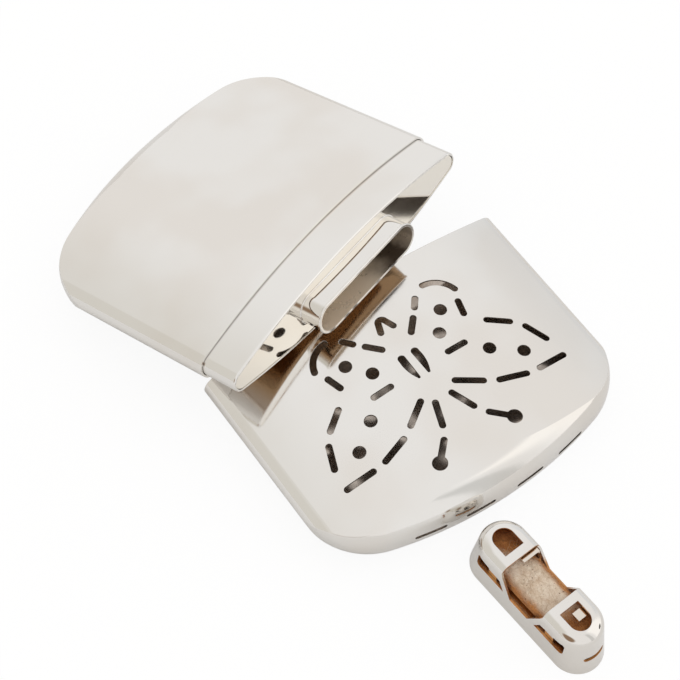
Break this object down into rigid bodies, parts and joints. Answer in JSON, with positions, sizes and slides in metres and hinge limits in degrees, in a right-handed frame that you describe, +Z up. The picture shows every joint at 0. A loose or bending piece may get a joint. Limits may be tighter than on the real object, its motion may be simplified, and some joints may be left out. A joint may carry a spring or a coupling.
{
  "type": "catalytic hand warmer",
  "caption": "Pocket hand warmer opened up: flat vented cap, leaning fuel tank with filler neck, and separate catalyst burner with fibre pad.",
  "frame": {"origin": "centre of the laid-out set's footprint, on the table", "axes": "+Z up, +Y from the cap's closed end to its mouth, +X to the right seen from the closed end"},
  "size_m": [0.079, 0.1418, 0.0253],
  "materials": {
    "case_plating": "polished nickel plate",
    "collar_plating": "polished nickel plate, faint golden tint",
    "neck_plating": "nickel plate with brown tarnish inside",
    "burner_plating": "polished nickel plate",
    "cage_steel": "thin bright sheet, heat tinted",
    "catalyst_fibre": "felted mineral fibre, rust coloured edges",
    "cotton": "packed cotton"
  },
  "bodies": {
    "cap": {"cap_shell": "case_plating"},
    "tank": {"tank_shell": "case_plating", "collar_band": "collar_plating", "neck_plate": "collar_plating", "filler_neck": "neck_plating", "neck_wick": "cotton", "fuel_wadding": "cotton"},
    "burner": {"burner_hood": "burner_plating", "burner_cage": "cage_steel", "pad_grid": "cage_steel", "catalyst_pad": "catalyst_fibre"}
  },
  "joints": [
    {"name": "tank_lift", "type": "slide", "parent": "cap", "child": "tank", "axis": [0, 0, 1], "range_m": [0, 0.05]},
    {"name": "burner_lift", "type": "slide", "parent": "cap", "child": "burner", "axis": [0, 0, 1], "range_m": [0, 0.03]}
  ]
}
